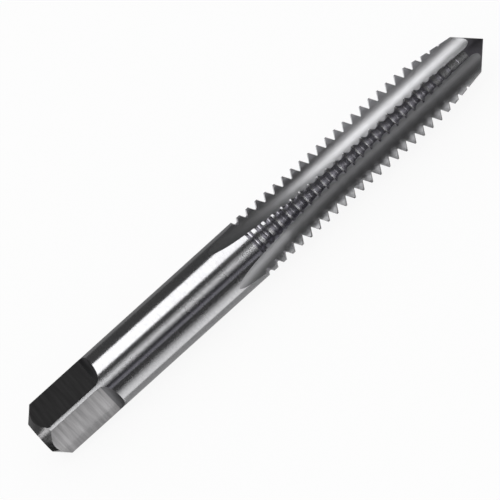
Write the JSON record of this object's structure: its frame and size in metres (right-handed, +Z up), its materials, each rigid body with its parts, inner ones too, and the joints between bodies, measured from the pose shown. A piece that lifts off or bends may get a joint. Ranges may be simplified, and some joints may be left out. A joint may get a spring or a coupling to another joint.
{
  "type": "thread tap",
  "caption": "Straight-flute hand thread tap: square drive end, round shank, right-hand interrupted thread with a tapered lead, and a male centre at the tip.",
  "frame": {"origin": "under the middle of the tap's length, on the surface that it lies on", "axes": "+X along the tap's axis towards its point, +Z up, with one drive flat and one flute facing down"},
  "size_m": [0.0722, 0.0078, 0.0079],
  "materials": {
    "ground_steel": "bright ground tool steel"
  },
  "bodies": {
    "root": {"tap": "ground_steel"}
  },
  "joints": []
}
